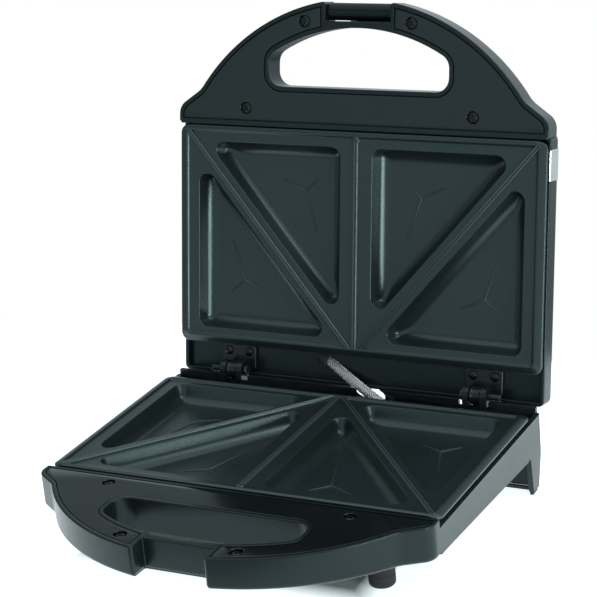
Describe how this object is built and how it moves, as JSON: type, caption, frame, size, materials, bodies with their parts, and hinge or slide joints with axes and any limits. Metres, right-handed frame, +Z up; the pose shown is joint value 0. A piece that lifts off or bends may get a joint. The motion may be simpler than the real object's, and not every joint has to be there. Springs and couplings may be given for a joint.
{
  "type": "sandwich toaster",
  "caption": "Hinged countertop sandwich toaster with two non-stick plates of triangular pockets, arched handles and a clip that holds it shut.",
  "frame": {"origin": "on the table under the middle of the standing toaster with its lid open, halfway between its foremost and rearmost points", "axes": "+X to the right seen from the front, +Y from the handle towards the hinge, +Z up"},
  "size_m": [0.2282, 0.2979, 0.2606],
  "materials": {
    "housing_plastic": "satin moulded",
    "cover_plastic": "fine moulded grain",
    "clip_plastic": "satin moulded",
    "coated_aluminium": "dark non-stick coating",
    "steel": "bright",
    "hinge_steel": "blackened",
    "element_sheath": "heat-darkened",
    "reflector_metal": "plain sheet",
    "band_steel": "brushed",
    "foot_rubber": "matt",
    "gland_rubber": "matt",
    "sleeve_steel": "coiled wire",
    "ceramic": "white block",
    "wire_jacket": "silicone jacket",
    "red_lens": "clear tinted",
    "green_lens": "clear tinted",
    "lamp_glass": "clear"
  },
  "bodies": {
    "base": {"base_housing": "housing_plastic", "base_handle_cover": "cover_plastic", "base_handle_screws": "steel", "lower_plate": "coated_aluminium", "lower_element": "element_sheath", "lower_element_clips": "steel", "lower_reflector": "reflector_metal", "lower_plate_screws": "steel", "bottom_cover": "housing_plastic", "bottom_cover_screws": "steel", "front_feet": "foot_rubber", "rear_foot_pads": "foot_rubber", "hinge_pins": "steel", "cord_gland": "gland_rubber", "terminal_block": "ceramic", "base_wires": "wire_jacket", "base_sleeve_collar": "housing_plastic", "wiring_sleeve": "sleeve_steel"},
    "lid": {"lid_housing": "housing_plastic", "lid_handle_cover": "cover_plastic", "lid_handle_screws": "steel", "upper_plate": "coated_aluminium", "upper_element": "element_sheath", "upper_element_clips": "steel", "upper_reflector": "reflector_metal", "upper_plate_screws": "steel", "lid_hinge_brackets": "hinge_steel", "lid_hinge_screws": "steel", "lid_trim_band": "band_steel", "power_lens": "red_lens", "ready_lens": "green_lens", "indicator_lamps": "lamp_glass", "thermostat": "steel", "thermal_fuse": "steel", "lid_wires": "wire_jacket", "lid_sleeve_collar": "housing_plastic", "latch_pin": "steel"},
    "clip": {"latch_clip": "clip_plastic"}
  },
  "joints": [
    {"name": "lid_hinge", "type": "hinge", "parent": "base", "child": "lid", "pos_m": [0, 0.0676, 0.0506], "axis": [1, 0, 0], "range_deg": [0, 102], "deforming": ["wiring_sleeve"]},
    {"name": "clip_pivot", "type": "hinge", "parent": "lid", "child": "clip", "pos_m": [0, 0.11934, 0.25363], "axis": [1, 0, 0], "range_deg": [0, 195]}
  ]
}
